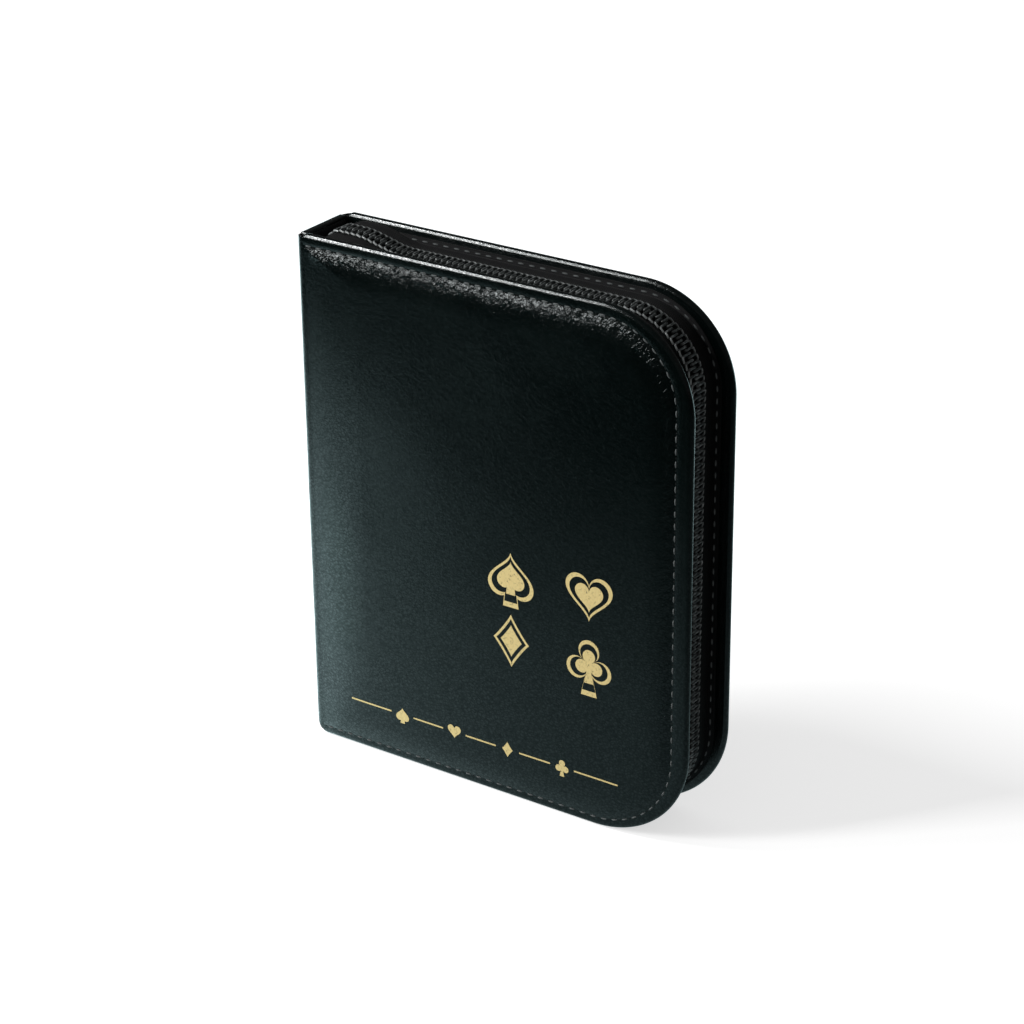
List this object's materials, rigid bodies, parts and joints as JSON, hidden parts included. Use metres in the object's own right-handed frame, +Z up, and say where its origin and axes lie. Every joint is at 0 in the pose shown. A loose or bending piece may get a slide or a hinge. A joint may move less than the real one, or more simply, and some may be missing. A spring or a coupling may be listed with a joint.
{
  "type": "rummy card set",
  "caption": "Zip-around padded leatherette card case with rounded corners, hinged at a stiff spine, holding decks of playing cards in a moulded tray.",
  "frame": {"origin": "middle of the footprint of the standing, closed case, on the surface that it stands on", "axes": "+X from the spine to the opening edge, +Y from the front cover to the back cover, +Z up"},
  "size_m": [0.115, 0.0232, 0.14],
  "materials": {
    "leatherette": "glossy grained black leatherette",
    "greyboard": "raw greyboard",
    "foam": "thin soft foam sheet",
    "lining": "fine matt black lining cloth",
    "zip_tape": "woven black polyester tape",
    "zip_coil": "black nylon coil, slightly glossy",
    "zip_metal": "black enamelled zinc, worn bright at the edges",
    "tray_plastic": "black flocked moulded tray",
    "cards": "linen-finish playing cards"
  },
  "bodies": {
    "back_half": {"back_skin": "leatherette", "back_board": "greyboard", "back_padding": "foam", "back_lining": "lining", "back_zip_tape": "zip_tape", "back_zip_coil": "zip_coil", "back_zip_coil_bottom": "zip_coil", "back_end_stop": "zip_metal", "card_tray": "tray_plastic", "upper_deck": "cards", "lower_deck": "cards"},
    "spine": {"spine_skin": "leatherette", "spine_board": "greyboard", "spine_lining": "lining", "back_fold_strip": "leatherette", "front_fold_strip": "leatherette"},
    "front_half": {"front_skin": "leatherette", "front_board": "greyboard", "front_padding": "foam", "front_lining": "lining", "front_zip_tape": "zip_tape", "front_zip_coil": "zip_coil", "front_zip_coil_bottom": "zip_coil", "front_end_stop": "zip_metal"},
    "slider": {"slider_body": "zip_metal", "slider_crown": "zip_metal"},
    "pull": {"pull_tab": "zip_metal"}
  },
  "joints": [
    {"name": "spine_fold", "type": "hinge", "parent": "back_half", "child": "spine", "pos_m": [-0.057, 0.0099, 0.07], "axis": [0, 0, -1], "range_deg": [0, 90], "deforming": ["back_fold_strip"]},
    {"name": "front_fold", "type": "hinge", "parent": "spine", "child": "front_half", "pos_m": [-0.057, -0.0099, 0.07], "axis": [0, 0, -1], "range_deg": [0, 90], "deforming": ["front_fold_strip"]},
    {"name": "slider_run", "type": "slide", "parent": "back_half", "child": "slider", "axis": [1, 0, 0], "range_m": [0, 0.071], "deforming": ["back_zip_coil_bottom", "front_zip_coil_bottom"]},
    {"name": "pull_swing", "type": "hinge", "parent": "slider", "child": "pull", "pos_m": [-0.04175, 0, 0.0023], "axis": [0, 1, 0], "range_deg": [0, 130]}
  ],
  "couplings": [
    {"joint": "front_fold", "follows": "spine_fold", "ratio": 1}
  ]
}
